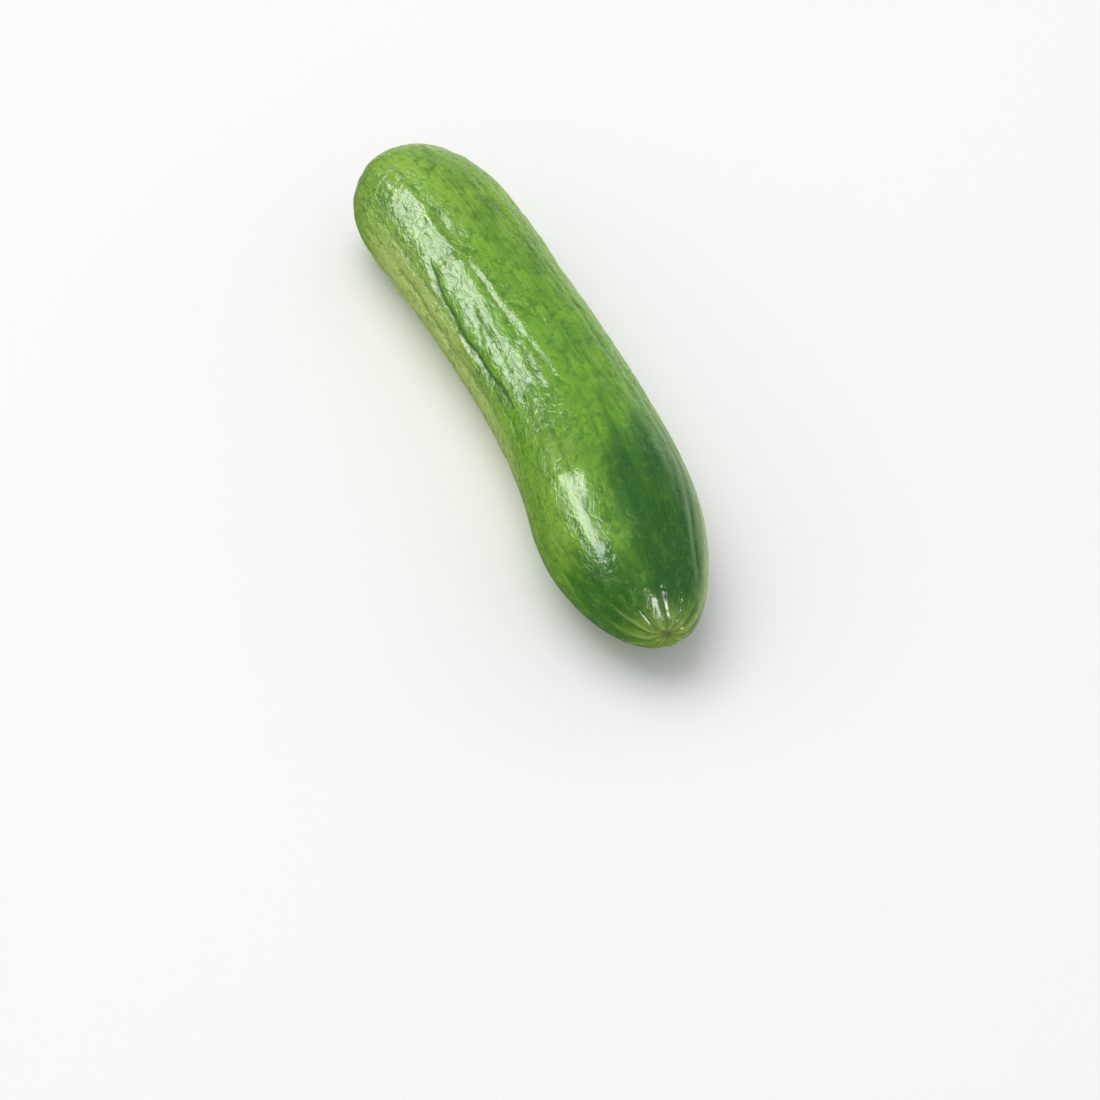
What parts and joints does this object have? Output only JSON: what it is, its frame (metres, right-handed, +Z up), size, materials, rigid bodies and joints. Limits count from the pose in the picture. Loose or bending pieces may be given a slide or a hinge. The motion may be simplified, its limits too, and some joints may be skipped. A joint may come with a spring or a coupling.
{
  "type": "cucumber",
  "caption": "Small smooth-skinned salad cucumber, slightly bent, with low lengthwise ribs, a rounded stem end and a puckered blossom end.",
  "frame": {"origin": "on the surface that the cucumber lies on, under the middle of its bounding box", "axes": "+X from the stem end to the blossom end, +Z up, and the middle of the fruit bows towards +Y"},
  "size_m": [0.1424, 0.0362, 0.0338],
  "materials": {
    "cucumber_skin": "waxy, glossy green skin, yellow-green at the stem end and deep green at the blossom end"
  },
  "bodies": {
    "root": {"cucumber": "cucumber_skin"}
  },
  "joints": []
}
